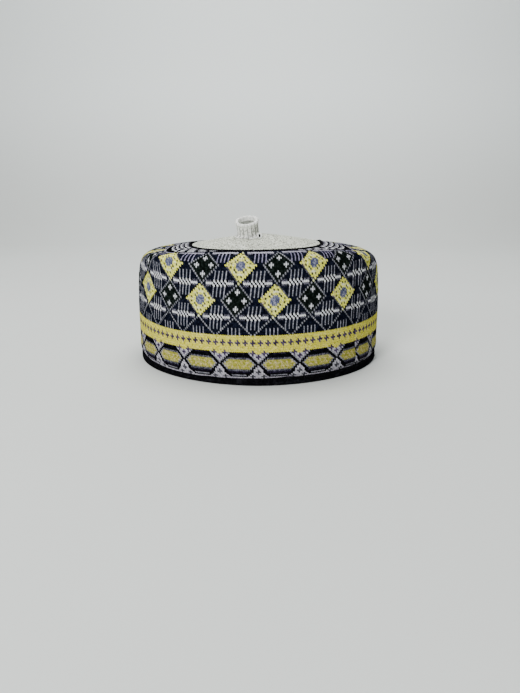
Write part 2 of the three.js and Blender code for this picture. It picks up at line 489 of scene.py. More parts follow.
def ring_stitch(n, row):
    """The top ring: plain black, then broken pale dashes on black."""
    ring, part = divmod(row - RING_START, RING_ROWS)
    if row < RING_START or part == RING_ROWS - 1:
        return "K"
    if (n + DASH_SHIFT * ring) % DASH_PITCH < DASH_STITCHES:
        return "W" if part == 0 else "G"
    return "K"


def stitch(n, row):
    if row < BAND_ROWS[0]:
        return hexagon_stitch(n, row)
    if row < BAND_ROWS[1]:
        return band_stitch(n, row)
    if row <= TOP_BAR + 1:
        return lattice_stitch(n, row)
    return ring_stitch(n, row)


# Yarns: base colour, colour of the flecks and how much of the yarn they take
YARNS = {
    "K": ((0.002, 0.002, 0.003), (0.007, 0.008, 0.011), 0.25),
    "N": ((0.003, 0.004, 0.009), (0.01, 0.013, 0.027), 0.35),
    "D": ((0.003, 0.005, 0.004), (0.012, 0.018, 0.016), 0.35),
    "U": ((0.007, 0.005, 0.013), (0.03, 0.024, 0.05), 0.35),
    "V": ((0.045, 0.032, 0.07), (0.12, 0.09, 0.16), 0.4),
    "P": ((0.035, 0.035, 0.042), (0.11, 0.11, 0.13), 0.4),
    "G": ((0.2, 0.2, 0.24), (0.38, 0.37, 0.42), 0.4),
    "H": ((0.05, 0.05, 0.068), (0.16, 0.155, 0.2), 0.4),
    "L": ((0.24, 0.25, 0.3), (0.45, 0.44, 0.52), 0.35),
    "T": ((0.23, 0.215, 0.33), (0.42, 0.39, 0.54), 0.4),
    "S": ((0.19, 0.195, 0.225), (0.38, 0.38, 0.42), 0.35),
    "E": ((0.38, 0.37, 0.46), (0.56, 0.54, 0.64), 0.35),
    "W": ((0.86, 0.87, 0.9), (0.56, 0.56, 0.64), 0.3),
    "X": ((0.6, 0.58, 0.65), (0.34, 0.32, 0.4), 0.35),
    "Z": ((0.74, 0.76, 0.8), (0.5, 0.5, 0.58), 0.3),
    "Y": ((0.7, 0.64, 0.07), (0.82, 0.74, 0.18), 0.36),
    "Q": ((0.36, 0.35, 0.05), (0.52, 0.47, 0.19), 0.36),
    "A": ((0.84, 0.83, 0.1), (0.93, 0.91, 0.3), 0.4),
    "C": ((0.82, 0.83, 0.36), (0.92, 0.93, 0.7), 0.4),
    "M": ((0.56, 0.47, 0.14), (0.62, 0.5, 0.27), 0.45),
    "O": ((0.05, 0.055, 0.025), (0.2, 0.2, 0.08), 0.4),
    "B": ((0.085, 0.095, 0.17), (0.28, 0.29, 0.4), 0.4),
}
# Lines one stitch wide look narrower than their stitch: the dark yarn closes over their edges
THIN_YARNS = {"L": (0.15, 0.35), "T": (0.13, 0.33), "S": (0.05, 0.2), "Z": (0.1, 0.28)}
THIN_EDGE = (0.003, 0.004, 0.008)
YARN_ORDER = list(YARNS)


class Nodes:
    """Short ways to add nodes to a material."""

    def __init__(self, material):
        material.use_nodes = True
        self.tree = material.node_tree
        self.tree.nodes.clear()
        self.out = self.tree.nodes.new("ShaderNodeOutputMaterial")
        self.shader = self.tree.nodes.new("ShaderNodeBsdfPrincipled")
        self.link(self.shader.outputs["BSDF"], self.out.inputs["Surface"])

    def link(self, a, b):
        self.tree.links.new(a, b)

    def math(self, operation, a, b=0.0):
        node = self.tree.nodes.new("ShaderNodeMath")
        node.operation = operation
        for socket, value in zip(node.inputs, (a, b)):
            if isinstance(value, (int, float)):
                socket.default_value = value
            else:
                self.link(value, socket)
        return node.outputs[0]

    def noise(self, scale, detail=2.0, stretch=(1, 1, 1)):
        node = self.tree.nodes.new("ShaderNodeTexNoise")
        node.inputs["Scale"].default_value = scale
        node.inputs["Detail"].default_value = detail
        stretched = self.tree.nodes.new("ShaderNodeMapping")
        stretched.inputs["Scale"].default_value = stretch
        place = self.tree.nodes.new("ShaderNodeTexCoord")
        self.link(place.outputs["Object"], stretched.inputs["Vector"])
        self.link(stretched.outputs["Vector"], node.inputs["Vector"])
        return node.outputs["Fac"]

    def height(self):
        place = self.tree.nodes.new("ShaderNodeTexCoord")
        split = self.tree.nodes.new("ShaderNodeSeparateXYZ")
        self.link(place.outputs["Object"], split.inputs[0])
        return split.outputs[2]

    def ramp(self, factor, low, high):
        node = self.tree.nodes.new("ShaderNodeMapRange")
        node.interpolation_type = "SMOOTHSTEP"
        node.inputs["From Min"].default_value = low
        node.inputs["From Max"].default_value = high
        self.link(factor, node.inputs["Value"])
        return node.outputs["Result"]

    def mix(self, factor, a, b):
        node = self.tree.nodes.new("ShaderNodeMix")
        node.data_type = "RGBA"
        self.link(factor, node.inputs["Factor"])
        for name, value in (("A", a), ("B", b)):
            socket = [s for s in node.inputs if s.name == name and s.type == "RGBA"][0]
            if isinstance(value, tuple):
                socket.default_value = (*value, 1)
            else:
                self.link(value, socket)
        return [s for s in node.outputs if s.type == "RGBA"][0]

    def stitch_uv(self):
        node = self.tree.nodes.new("ShaderNodeUVMap")
        node.uv_map = "stitch"
        split = self.tree.nodes.new("ShaderNodeSeparateXYZ")
        self.link(node.outputs["UV"], split.inputs[0])
        return split.outputs[0], split.outputs[1]

    def bump(self, height, strength, distance):
        node = self.tree.nodes.new("ShaderNodeBump")
        node.inputs["Strength"].default_value = strength
        node.inputs["Distance"].default_value = distance
        self.link(height, node.inputs["Height"])
        return node.outputs["Normal"]

    def finish(self, colour, normal):
        self.link(colour, self.shader.inputs["Base Color"])
        self.link(normal, self.shader.inputs["Normal"])
        self.shader.inputs["Roughness"].default_value = ROUGHNESS
        self.shader.inputs["Specular IOR Level"].default_value = 0.0


ROUGHNESS = 0.95
# A stitch: heights of its two legs and its bow, how full they are, the noise in its yarn, and the
# painted shade that darkens its grooves
LEG_HEIGHT = 0.55
BOW_HEIGHT = 0.45
FULLNESS = 0.5
FIBRE_SCALE = 2600
FLECK_SCALE = 620
SHADE_SCALE = 1000
FLECK_RAMP = (0.6, 0.72)
FLECK_GAIN = 0.35
SHADE_RAMP = (0.52, 0.66)
LOOP_RAMP = (0.2, 0.8)
GROOVE_PAINTED_SHADE = 0.2
HALF_LIGHT = 0.5
FIBRE_HEIGHT = 0.3
YARN_BUMP = (0.55, 0.0004)


def yarn_material(letter):
    """Yarn in a knit stitch: two leaning legs with a groove between, fibres and flecks, and painted
    shade darkening the grooves.
    """
    base, fleck, share = YARNS[letter]
    material = bpy.data.materials.new("yarn_" + letter)
    n = Nodes(material)
    x, y = n.stitch_uv()
    side = n.math("ABSOLUTE", n.math("SUBTRACT", x, 0.5))
    leg = n.math("SINE", n.math("MULTIPLY", side, TURN))
    leg = n.math("POWER", n.math("MAXIMUM", leg, 0.0), FULLNESS)
    bow = n.math("SINE", n.math("MULTIPLY", y, math.pi))
    bow = n.math("POWER", n.math("MAXIMUM", bow, 0.0), FULLNESS)
    loop = n.math("ADD", n.math("MULTIPLY", leg, LEG_HEIGHT), n.math("MULTIPLY", bow, BOW_HEIGHT))
    fibre = n.noise(FIBRE_SCALE, 3)
    flecks = n.noise(FLECK_SCALE, 2)
    shade = n.noise(SHADE_SCALE, 2)
    shift = share * FLECK_GAIN
    flecked = n.mix(n.ramp(flecks, FLECK_RAMP[0] - shift, FLECK_RAMP[1] - shift), base, fleck)
    # A darkened copy of the yarn colour, used as painted shade in the grooves
    dark = tuple(GROOVE_PAINTED_SHADE * c for c in base)
    half_lit = tuple(HALF_LIGHT * c for c in base)
    colour = n.mix(n.ramp(shade, *SHADE_RAMP), flecked, half_lit)
    # Painted shade: the darkened colour fills the stitch where its loop is low, between the legs and
    # round its edges
    colour = n.mix(n.ramp(loop, *LOOP_RAMP), dark, colour)
    if letter in THIN_YARNS:
        edge = n.ramp(n.math("SUBTRACT", 0.5, side), *THIN_YARNS[letter])
        colour = n.mix(edge, THIN_EDGE, colour)
    height = n.math("ADD", loop, n.math("MULTIPLY", fibre, FIBRE_HEIGHT))
    n.finish(colour, n.bump(height, *YARN_BUMP))
    return material


# Plain wools: base colour, dark colour painted as shade in the stipple's hollows, light colour of the
# mottling, scale of the stipple and strength of its relief
WOOLS = {
    "knit_reverse": ((0.022, 0.022, 0.034), (0.006, 0.006, 0.01), (0.08, 0.077, 0.07), 800, 0.6),
    "pale_knit_wool": ((0.6, 0.62, 0.53), (0.2, 0.21, 0.17), (0.71, 0.73, 0.65), 700, 0.9),
    "black_piping": ((0.004, 0.004, 0.005), (0.002, 0.002, 0.002), (0.01, 0.01, 0.013), 900, 0.6),
    "white_thread": ((0.93, 0.94, 0.9), (0.8, 0.81, 0.77), (0.96, 0.97, 0.94), 900, 0.3),
    # Painted shade: the dark disc in the hole of the thread's loop
    "eyelet_painted_shade": ((0.01, 0.01, 0.012), (0.004, 0.004, 0.005), (0.03, 0.03, 0.03), 900, 0.3),
    # Painted shade: grey for the inside of the stub's hollow, which is the same white wool as the stub
    "stub_hollow_shade": ((0.28, 0.29, 0.26), (0.16, 0.17, 0.15), (0.4, 0.41, 0.37), 700, 0.5),
    "black_tape": ((0.004, 0.004, 0.005), (0.0015, 0.0015, 0.002), (0.012, 0.012, 0.015), 800, 0.6),
}
REVERSE_STRETCH = (1, 1, 3)
BROAD_SCALE = 0.3
FIBRE_FINENESS = 4
LIGHT_RAMP = (0.48, 0.66)
STIPPLE_SHADE_RAMP = (0.38, 0.52)
WOOL_FIBRE_HEIGHT = 0.4
WOOL_RELIEF = 0.0005


def woolly_material(name, stretch=(1, 1, 1)):
    """Plain yarn seen from farther off: soft mottling, a stippled surface with painted shade in its
    hollows, and fibres.
    """
    base, dark, light, scale, strength = WOOLS[name]
    material = bpy.data.materials.new(name)
    n = Nodes(material)
    broad = n.noise(scale * BROAD_SCALE, 2, stretch)
    grain = n.noise(scale, 1, stretch)
    fibre = n.noise(scale * FIBRE_FINENESS, 3)
    colour = n.mix(n.ramp(broad, *LIGHT_RAMP), base, light)
    # Painted shade: the dark colour fills the stipple where its relief is low
    colour = n.mix(n.ramp(grain, *STIPPLE_SHADE_RAMP), dark, colour)
    height = n.math("ADD", grain, n.math("MULTIPLY", fibre, WOOL_FIBRE_HEIGHT))
    n.finish(colour, n.bump(height, strength, WOOL_RELIEF))
    return material


# The stub's ribbed wool: colour of its grooves, which is painted shade, and colours of its stippled ribs
# and its smooth rim, whose dark ends are painted shade in the stipple's hollows
RIB_GROOVE_SHADE = (0.26, 0.27, 0.24)
RIB_STIPPLE = ((0.45, 0.46, 0.42), (0.98, 0.98, 0.94))
RIM_STIPPLE = ((0.7, 0.71, 0.66), (0.97, 0.98, 0.94))
RIB_GRAIN_SCALE = 650
RIB_STIPPLE_RAMP = (0.4, 0.5)
RIM_STIPPLE_RAMP = (0.3, 0.45)
RIB_GROOVE_RAMP = (0.1, 0.6)
RIB_BUMP = (0.6, 0.0004)


def rib_material():
    """White ribbed knit with painted shade in the grooves between the ribs and in the hollows of its
    stipple.
    """
    material = bpy.data.materials.new("pale_rib_wool")
    n = Nodes(material)
    across, on_wall = n.stitch_uv()
    groove = n.math("ABSOLUTE", n.math("SINE", n.math("MULTIPLY", across, math.pi)))
    grain = n.noise(RIB_GRAIN_SCALE, 2)
    stipple = n.mix(n.ramp(grain, *RIB_STIPPLE_RAMP), *RIB_STIPPLE)
    smooth = n.mix(n.ramp(grain, *RIM_STIPPLE_RAMP), *RIM_STIPPLE)
    # Painted shade: the groove colour fills the lines where the ribs' relief is low
    ribbed = n.mix(n.ramp(groove, *RIB_GROOVE_RAMP), RIB_GROOVE_SHADE, stipple)
    colour = n.mix(on_wall, smooth, ribbed)
    n.finish(colour, n.bump(n.math("ADD", grain, groove), *RIB_BUMP))
    return material


def mesh_piece(name, vertices, faces, materials, indices=None, uvs=None):
    """A smooth mesh from points in millimetres, with a material and a UV to each face."""
    mesh = bpy.data.meshes.new(name)
    mesh.from_pydata((np.asarray(vertices) * METRES).tolist(), [], faces)
    for material in materials:
        mesh.materials.append(material)
    if indices is not None:
        mesh.polygons.foreach_set("material_index", np.asarray(indices, np.int32))
    if uvs is not None:
        layer = mesh.uv_layers.new(name="stitch")
        layer.data.foreach_set("uv", np.asarray(uvs, np.float32).ravel())
    mesh.polygons.foreach_set("use_smooth", np.ones(len(mesh.polygons), bool))
    mesh.update()
    piece = bpy.data.objects.new(name, mesh)
    bpy.context.scene.collection.objects.link(piece)
    return piece


def dress(piece, slot, *nodes):
    """Puts a piece in place of nodes of the part."""
    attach(piece, "root")
    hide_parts(*nodes)
    return piece


# Every stitch leans: its right border sits half a row lower than its left one
HALF_LEVELS = 2 * ROWS + 2
# The inside has a column to every few stitches
INSIDE_SHARE = 3
INSIDE_ROWS = 48
EDGE_ROWS = 3
# Yarn is never quite even, and the side seam draws the wall in
WOBBLE_SEED = 7
WOBBLE = 0.05
SIDE_SEAM_DEPTH = 0.7
SIDE_SEAM_REACH = 1.2


def wall_vertices():
    borders = np.arange(STITCHES)[:, None]
    rows = (np.arange(HALF_LEVELS) - 1)[None] / 2
    angle, share = stitch_place(borders, rows)
    points = on_net(WALL, angle, share)
    normals = on_net(WALL_NORMALS, angle, share)
    return points, normals


def knit_wall():
    """The wall: a six-cornered face to each stitch outside, a plain reverse inside."""
    points, normals = wall_vertices()
    rng = np.random.default_rng(WOBBLE_SEED)
    wobble = rng.normal(0, WOBBLE, points.shape)
    border = np.arange(STITCHES)
    seam_depth = SIDE_SEAM_DEPTH * bell(np.minimum(border, STITCHES - border), 0, SIDE_SEAM_REACH)
    points = points + wobble - normals * seam_depth[:, None, None]
    faces, indices, uvs = [], [], []
    vertices = points.reshape(-1, 3).tolist()
    black = YARN_ORDER.index("K")

    def at(border, half):
        return (border % STITCHES) * HALF_LEVELS + half

    for i in range(STITCHES):
        n = STITCHES - 1 - i
        faces.append((at(i, 0), at(i + 1, 0), at(i, 1)))
        indices.append(black)
        uvs += [(0, 0), (1, 0), (0, 1)]
        for row in range(ROWS):
            h = 2 * row + 1
            right = (at(i + 1, h - 1), at(i + 1, h), at(i + 1, h + 1))
            faces.append((at(i, h), *right, at(i, h + 2), at(i, h + 1)))
            indices.append(YARN_ORDER.index(stitch(n, row)))
            uvs += [(0, 0), (1, 0), (1, 0.5), (1, 1), (0, 1), (0, 0.5)]
        top = HALF_LEVELS - 1
        faces.append((at(i, top), at(i + 1, top - 1), at(i + 1, top)))
        indices.append(black)
        uvs += [(0, 0), (1, 0), (1, 1)]

    # Down behind the binding, across the lower edge and up the inside
    borders = np.arange(STITCHES)
    columns = STITCHES // INSIDE_SHARE
    inside_borders = np.arange(columns) * INSIDE_SHARE
    edge_rows = np.linspace(-0.5, ROW_MARKS[0], EDGE_ROWS + 1)[1:]
    loops = [[at(b, 0) for b in borders]]
    for row in edge_rows:
        angle, share = stitch_place(borders, row)
        ring = on_net(WALL, angle, share)
        loops.append(list(range(len(vertices), len(vertices) + STITCHES)))
        vertices += ring.tolist()
    for upper, lower in zip(loops, loops[1:]):
        for i in range(STITCHES):
            j = (i + 1) % STITCHES
            faces.append((lower[i], lower[j], upper[j], upper[i]))
            indices.append(black)
            uvs += [(0, 0), (1, 0), (1, 1), (0, 1)]
    inner_loops = []
    reverse = len(YARN_ORDER)
    rows = np.linspace(ROW_MARKS[0], ROWS, INSIDE_ROWS + 1)
    for row in rows:
        angle, share = stitch_place(inside_borders, row)
        ring = on_net(WALL, angle, share) - WALL_THICKNESS * on_net(WALL_NORMALS, angle, share)
        if row == ROWS:
            ring = seam_ring(angle, 2 * SEAM_GAP + WELT_WIDTH, -WALL_THICKNESS)
        inner_loops.append(list(range(len(vertices), len(vertices) + columns)))
        vertices += ring.tolist()

    def join(fine, coarse, turned):
        for c in range(columns):
            d = (c + 1) % columns
            run = [fine[(c * INSIDE_SHARE + s) % STITCHES] for s in range(INSIDE_SHARE + 1)]
            face = [coarse[c], coarse[d], *run[::-1]]
            faces.append(tuple(face[::-1] if turned else face))
            indices.append(reverse)
            uvs.extend([(0.5, 0.5)] * len(face))

    join(loops[-1], inner_loops[0], False)
    for low, high in zip(inner_loops, inner_loops[1:]):
        for c in range(columns):
            d = (c + 1) % columns
            faces.append((low[d], low[c], high[c], high[d]))
            indices.append(reverse)
            uvs += [(1, 0), (0, 0), (0, 1), (1, 1)]
    join([at(b, HALF_LEVELS - 1) for b in borders], inner_loops[-1], True)
    materials = [yarn_material(letter) for letter in YARN_ORDER]
    materials.append(woolly_material("knit_reverse", REVERSE_STRETCH))
    piece = mesh_piece("knit_wall", vertices, faces, materials, indices, uvs)
    return dress(piece, "patterned_knit", "side_wall")


def tube_faces(loops, closed=True):
    """Quads between loops of the same length, outside on the left of their run."""
    faces = []
    for lower, upper in zip(loops, loops[1:] + loops[:1] if closed else loops[1:]):
        count = len(lower)
        for i in range(count):
            j = (i + 1) % count
            faces.append((lower[i], lower[j], upper[j], upper[i]))
    return faces


def loops_of(rings):
    count = len(rings[0])
    return [list(range(k * count, (k + 1) * count)) for k in range(len(rings))]


CROWN_STEPS = 720
CROWN_RINGS = 96
CROWN_KNIT_ROWS = 32
CROWN_STITCH = 2.0
CROWN_MEAN_RADIUS = 56
FEWEST_STITCHES = 6
RIDGE_HEIGHT = 0.17
LOOP_HEIGHT = 0.15
EDGE_FADE = 12
EDGE_DROP = 0.5
# The underside, plainer than the top: a column to every few steps, and its flat middle
CROWN_UNDER_SHARE = 5
CROWN_UNDER_RINGS = 16
CROWN_UNDER_MIDDLE = 0.06
# Where the crown is gathered round the stub, and the lines of decreases running out from it
SKIRT_SHARE = 1.36
GATHER_REACH = 4.0
GATHER_RISE = 0.9
GATHER_FOLDS = 18
GATHER_MEAN = 0.55
GATHER_SWING = 0.45
DECREASE_LINES = 6
DECREASE_REACH = 26.0
DECREASE_RISE = 0.4
DECREASE_PHASE = 0.5
DECREASE_SHARPNESS = 30


def stub_foot():
    return np.array([STALK_X, STALK_Y, crown_height(STALK_X, STALK_Y)])


def crown_piece():
    """The crown: rows of ridges, gathers round the stub and lines of decreases."""
    angle = np.arange(CROWN_STEPS) / CROWN_STEPS * TURN
    foot = stub_foot()
    rings = []
    for k in range(1, CROWN_RINGS + 1):
        share = k / CROWN_RINGS
        p = crown_point(angle, share + 0 * angle)
        knit_row = share * CROWN_KNIT_ROWS
        count = max(FEWEST_STITCHES, round(TURN * share * CROWN_MEAN_RADIUS / CROWN_STITCH))
        phase = math.pi * math.floor(knit_row)
        ridge = math.cos(TURN * (knit_row - 0.5))
        loops_shown = LOOP_HEIGHT * (0.5 + 0.5 * ridge)
        grain = RIDGE_HEIGHT * ridge + loops_shown * np.cos(count * angle + phase)
        away = np.hypot(p[:, 0] - foot[0], p[:, 1] - foot[1]) - STALK_DIAMETER / 2 * SKIRT_SHARE
        around = np.arctan2(p[:, 1] - foot[1], p[:, 0] - foot[0])
        gather = bell(np.maximum(away, 0), 0, GATHER_REACH)
        line = np.maximum(np.cos(DECREASE_LINES * around + DECREASE_PHASE), 0) ** DECREASE_SHARPNESS
        decrease = line * np.exp(-np.maximum(away, 0) / DECREASE_REACH)
        folds = GATHER_RISE * (GATHER_MEAN + GATHER_SWING * np.cos(GATHER_FOLDS * around))
        lift = (gather * folds + DECREASE_RISE * decrease) * smoothstep(away)
        edge = smoothstep((1 - share) * EDGE_FADE)
        p[:, 2] += (grain + lift) * edge - EDGE_DROP * (1 - edge) ** 2
        rings.append(p)
    vertices = np.concatenate(rings).tolist()
    loops = loops_of(rings)
    faces = tube_faces(loops, closed=False)
    faces = [face[::-1] for face in faces]
    peak = len(vertices)
    vertices.append([*CROWN_PEAK])
    for i in range(CROWN_STEPS):
        faces.append((peak, loops[0][i], loops[0][(i + 1) % CROWN_STEPS]))
    columns = CROWN_STEPS // CROWN_UNDER_SHARE
    under_angle = np.arange(columns) / columns * TURN
    under = []
    for share in np.linspace(1, CROWN_UNDER_MIDDLE, CROWN_UNDER_RINGS):
        p = crown_point(under_angle, share + 0 * under_angle)
        p[:, 2] -= CROWN_THICKNESS
        under.append(list(range(len(vertices), len(vertices) + columns)))
        vertices += p.tolist()
    for c in range(columns):
        first = c * CROWN_UNDER_SHARE
        run = [loops[-1][(first + s) % CROWN_STEPS] for s in range(CROWN_UNDER_SHARE + 1)]
        faces.append((under[0][c], under[0][(c + 1) % columns], *run[::-1]))
    for outer, inner in zip(under, under[1:]):
        for c in range(columns):
            d = (c + 1) % columns
            faces.append((outer[d], outer[c], inner[c], inner[d]))
    faces.append(tuple(under[-1][::-1]))
    piece = mesh_piece("crown_knit", vertices, faces, [woolly_material("pale_knit_wool")])
    return dress(piece, "pale_knit", "crown")


PIPING_STEPS = 1080
PIPING_STITCHES = 180
PIPING_TWIST = 0.14
PIPING_PROUD = 0.2
PIPING_SIDE = 0.3
PIPING_SLANT = 1.6
# Place across the welt, height over the seam, share of the twist and of the extra rise
PIPING_ROWS = [
    (-1, -3.0, 0),
    (-1, -1.2, 0),
    (-1, 0.0, 0.6),
    (-0.75, 0.6, 0.9),
    (-0.35, 0.9, 1),
    (0.1, 0.95, 1),
    (0.5, 0.75, 1),
    (0.85, 0.3, 0.8),
    (1, -0.4, 0.4),
    (1, -1.6, 0),
    (1, -3.0, 0),
]


def piping_piece():
    """The black line round the crown: a twisted yarn, a little prouder on the wearer's right."""
    angle = np.arange(PIPING_STEPS) / PIPING_STEPS * TURN
    middle = SEAM_GAP + WELT_WIDTH / 2
    half = WELT_WIDTH / 2
    proud = PIPING_PROUD * smoothstep((-PIPING_SIDE - np.sin(angle)) / (1 - PIPING_SIDE))
    rings = []
    for across, rise, grow in PIPING_ROWS:
        twist = PIPING_TWIST * np.cos(PIPING_STITCHES * angle + PIPING_SLANT * across)
        rings.append(seam_ring(angle, middle - across * half, rise + grow * (twist + proud)))
    faces = tube_faces(loops_of(rings))
    piece = mesh_piece("crown_piping", np.concatenate(rings), faces, [woolly_material("black_piping")])
    return dress(piece, "black_yarn", "crown_welt")


TUBE_SIDES = 10
# A white thread ends in a small loop at the stub's foot, in front and on the wearer's right
LOOP_RADIUS = 1.75
THREAD_RADIUS = 0.6
LOOP_STEPS = 28
LOOP_LEAN = 0.25
LOOP_TALLNESS = 1.15
# A direction that no thread runs in
THREAD_ACROSS = (0.0, 1.0, 0.3)
# Narrowing and thickness of the dark disc of painted shade in the loop's eyelet
EYELET_NARROWING = np.array([0.65, 1.0, 1.0])
EYELET_THICKNESS = np.array([0.0, 0.3, 0.0])
LOOP_PLACE = (9.2, -10.6, 0.9)
THREAD_POINTS = [(7.8, -11.8, 0.0), (5.8, -13.4, -0.9), (3.6, -14.6, -1.0), (1.2, -15.4, -1.2)]

STUB_STEPS = 192
STUB_RIBS = 16
STUB_BEADS = 20
RIB_DEPTH = 0.4
BEAD_DEPTH = 0.42
RIB_ROUNDNESS = 0.7
RIB_MEAN = 0.6
# The stub's foot follows the crown over this share of its length, and its rows crowd upwards
FOOT_SHARE = 0.5
FOOT_RISE = 0.9
# The stub's outline: along its length, radius share, how much the ribs and the beads show
STUB_ROWS = [
    (0.0, SKIRT_SHARE - 0.04, 1.4, 0),
    (0.03, SKIRT_SHARE - 0.06, 1.4, 0),
    (0.06, 1.17, 1.2, 0),
    (0.11, 1.08, 1, 0),
    (0.18, 1.02, 1, 0),
    (0.26, 1.0, 1, 0),
    (0.35, 0.995, 1, 0),
    (0.45, 0.995, 1, 0),
    (0.55, 1.0, 1, 0),
    (0.65, 1.005, 1, 0),
    (0.72, 1.01, 0.9, 0),
    (0.76, 1.0, 0.5, 0),
    (0.79, 1.015, 0.2, 0.3),
    (0.83, 1.05, 0, 0.8),
    (0.88, 1.08, 0, 1),
    (0.93, 1.08, 0, 1),
    (0.97, 1.05, 0, 1),
    (1.0, 0.99, 0, 0.9),
    (1.01, 0.92, 0, 0.7),
    (1.0, 0.86, 0, 0.4),
    (0.95, 0.82, 0.2, 0),
    (0.85, 0.8, 0.3, 0),
    (0.75, 0.78, 0.3, 0),
    (0.65, 0.74, 0.3, 0),
    (0.6, 0.6, 0.3, 0),
    (0.59, 0.4, 0.2, 0),
    (0.59, 0.1, 0.1, 0),
]
# Rows of the stub's wall and of its wall and rim, and how much the grooves' painted shade shows on each
STUB_WALL_ROWS = 11
STUB_RIM_ROWS = 22
WALL_GROOVES = 1
RIM_GROOVES = 0.35


def stub_frame():
    """How the stub is turned, and its axis."""
    axis = Vector((-math.tan(STALK_LEAN_BACK), -math.tan(STALK_LEAN_RIGHT), 1)).normalized()
    turn = Vector((0, 0, 1)).rotation_difference(axis).to_matrix()
    return np.array(turn), np.array(axis)


def tube(line, radius, closed):
    """A thread along a line of points."""
    line = np.asarray(line, float)
    if closed:
        run = np.roll(line, -1, 0) - np.roll(line, 1, 0)
    else:
        run = np.gradient(line, axis=0)
    run = run / np.linalg.norm(run, axis=1, keepdims=True)
    side = np.cross(run, THREAD_ACROSS)
    side = side / np.linalg.norm(side, axis=1, keepdims=True)
    up = np.cross(run, side)
    around = np.arange(TUBE_SIDES) / TUBE_SIDES * TURN
    ring = np.cos(around)[None, :, None] * side[:, None] + np.sin(around)[None, :, None] * up[:, None]
    rings = list(line[:, None] + radius * ring)
    loops = loops_of(rings)
    faces = tube_faces(loops, closed=closed)
    if not closed:
        faces += [tuple(loops[0][::-1]), tuple(loops[-1])]
    return np.concatenate(rings), faces


def add_part(vertices, faces, part):
    """Adds a part's points and faces to a piece."""
    count = len(vertices)
    vertices += part[0].tolist()
    faces += [tuple(count + k for k in face) for face in part[1]]


def stub_piece():
    """The ribbed stub, the thread's loop at its foot and a dark disc of painted shade in the loop's
    eyelet.
    """
    turn, axis = stub_frame()
    foot = stub_foot() + np.array([0, 0, SEAM_GAP])
    angle = np.arange(STUB_STEPS) / STUB_STEPS * TURN
    rings = []
    for along, share, rib, bead in STUB_ROWS:
        radius = share * STALK_DIAMETER / 2
        ribs = np.abs(np.cos(STUB_RIBS / 2 * angle)) ** RIB_ROUNDNESS - RIB_MEAN
        radius = radius + RIB_DEPTH * rib * ribs
        beads = BEAD_DEPTH * bead * np.cos(STUB_BEADS * angle)
        radius = radius + beads
        rise = along * STALK_LENGTH + beads / 2
        local = np.stack([radius * np.cos(angle), radius * np.sin(angle), rise], -1)
        p = local @ turn.T + foot
        if along < FOOT_SHARE:
            clear = np.array([crown_height(x, y) for x, y, _ in p]) + SEAM_GAP - p[:, 2]
            lift = clear + along * STALK_LENGTH * FOOT_RISE
            p = p + axis * lift[:, None] * (1 - along / FOOT_SHARE) ** 2 / axis[2]
        rings.append(p)
    vertices = np.concatenate(rings).tolist()
    loops = loops_of(rings)
    faces = tube_faces(loops, closed=False)
    faces.append(tuple(loops[-1]))
    faces.append(tuple(loops[0][::-1]))
    # Across each rib, and how much the grooves' painted shade shows
    across_ribs = np.arange(STUB_STEPS + 1) / STUB_STEPS * STUB_RIBS
    grooves = [WALL_GROOVES] * STUB_WALL_ROWS + [RIM_GROOVES] * (STUB_RIM_ROWS - STUB_WALL_ROWS)
    grooves += [0] * (len(rings) - 1 - STUB_RIM_ROWS)
    uvs = []
    for level in grooves:
        for here, there in zip(across_ribs, across_ribs[1:]):
            uvs += [(here, level), (there, level), (there, level), (here, level)]
    turn_round = np.arange(LOOP_STEPS) / LOOP_STEPS * TURN
    rise = np.sin(turn_round)
    loop = np.stack([np.cos(turn_round), LOOP_LEAN * rise, LOOP_TALLNESS * rise], -1)
    loop_middle = foot + LOOP_PLACE
    wool_faces = len(faces)
    add_part(vertices, faces, tube(loop_middle + LOOP_RADIUS * loop, THREAD_RADIUS, True))
    add_part(vertices, faces, tube(foot + np.array(THREAD_POINTS), THREAD_RADIUS, False))
    thread_faces = len(faces)
    # A thin dark disc fills the loop: painted shade where its hole is
    eyelet = loop_middle + (LOOP_RADIUS - THREAD_RADIUS) * EYELET_NARROWING * loop
    eyelet_rings = [eyelet, eyelet + EYELET_THICKNESS]
    eyelet_loops = loops_of(eyelet_rings)
    eyelet_faces = tube_faces(eyelet_loops, closed=False)
    eyelet_faces += [tuple(eyelet_loops[0][::-1]), tuple(eyelet_loops[1])]
    add_part(vertices, faces, (np.concatenate(eyelet_rings), eyelet_faces))
    # The hollow's inner wall and floor, and the foot's underside, take a grey wool: painted shade in the
    # stub's recess
    hollow_faces = (len(rings) - 1 - STUB_RIM_ROWS) * STUB_STEPS + 2
    indices = [0] * (wool_faces - hollow_faces) + [3] * hollow_faces
    indices += [1] * (thread_faces - wool_faces) + [2] * len(eyelet_faces)
    uvs += [(0, 0)] * (sum(len(face) for face in faces) - len(uvs))
    materials = [rib_material()]
    materials += [woolly_material(name) for name in ("white_thread", "eyelet_painted_shade", "stub_hollow_shade")]
    piece = mesh_piece("crown_stub", vertices, faces, materials, indices, uvs)
    return dress(piece, "pale_rib", "stalk")


TAPE_STEPS = 1760
TAPE_RIBS = 440
TAPE_RIB_DEPTH = 0.16
# Waves of the tape's edge: depth, number round the rim, phase
TAPE_WAVES = [(0.28, 9, 1), (0.2, 23, 2), (0.15, 41, 0)]
# Insets of the inner side of the channel that holds the wall's edge, and of the tape's own
CHANNEL_IN = BINDING_THICKNESS + 2 * SEAM_GAP + WALL_THICKNESS
TAPE_FULL = CHANNEL_IN + BINDING_THICKNESS
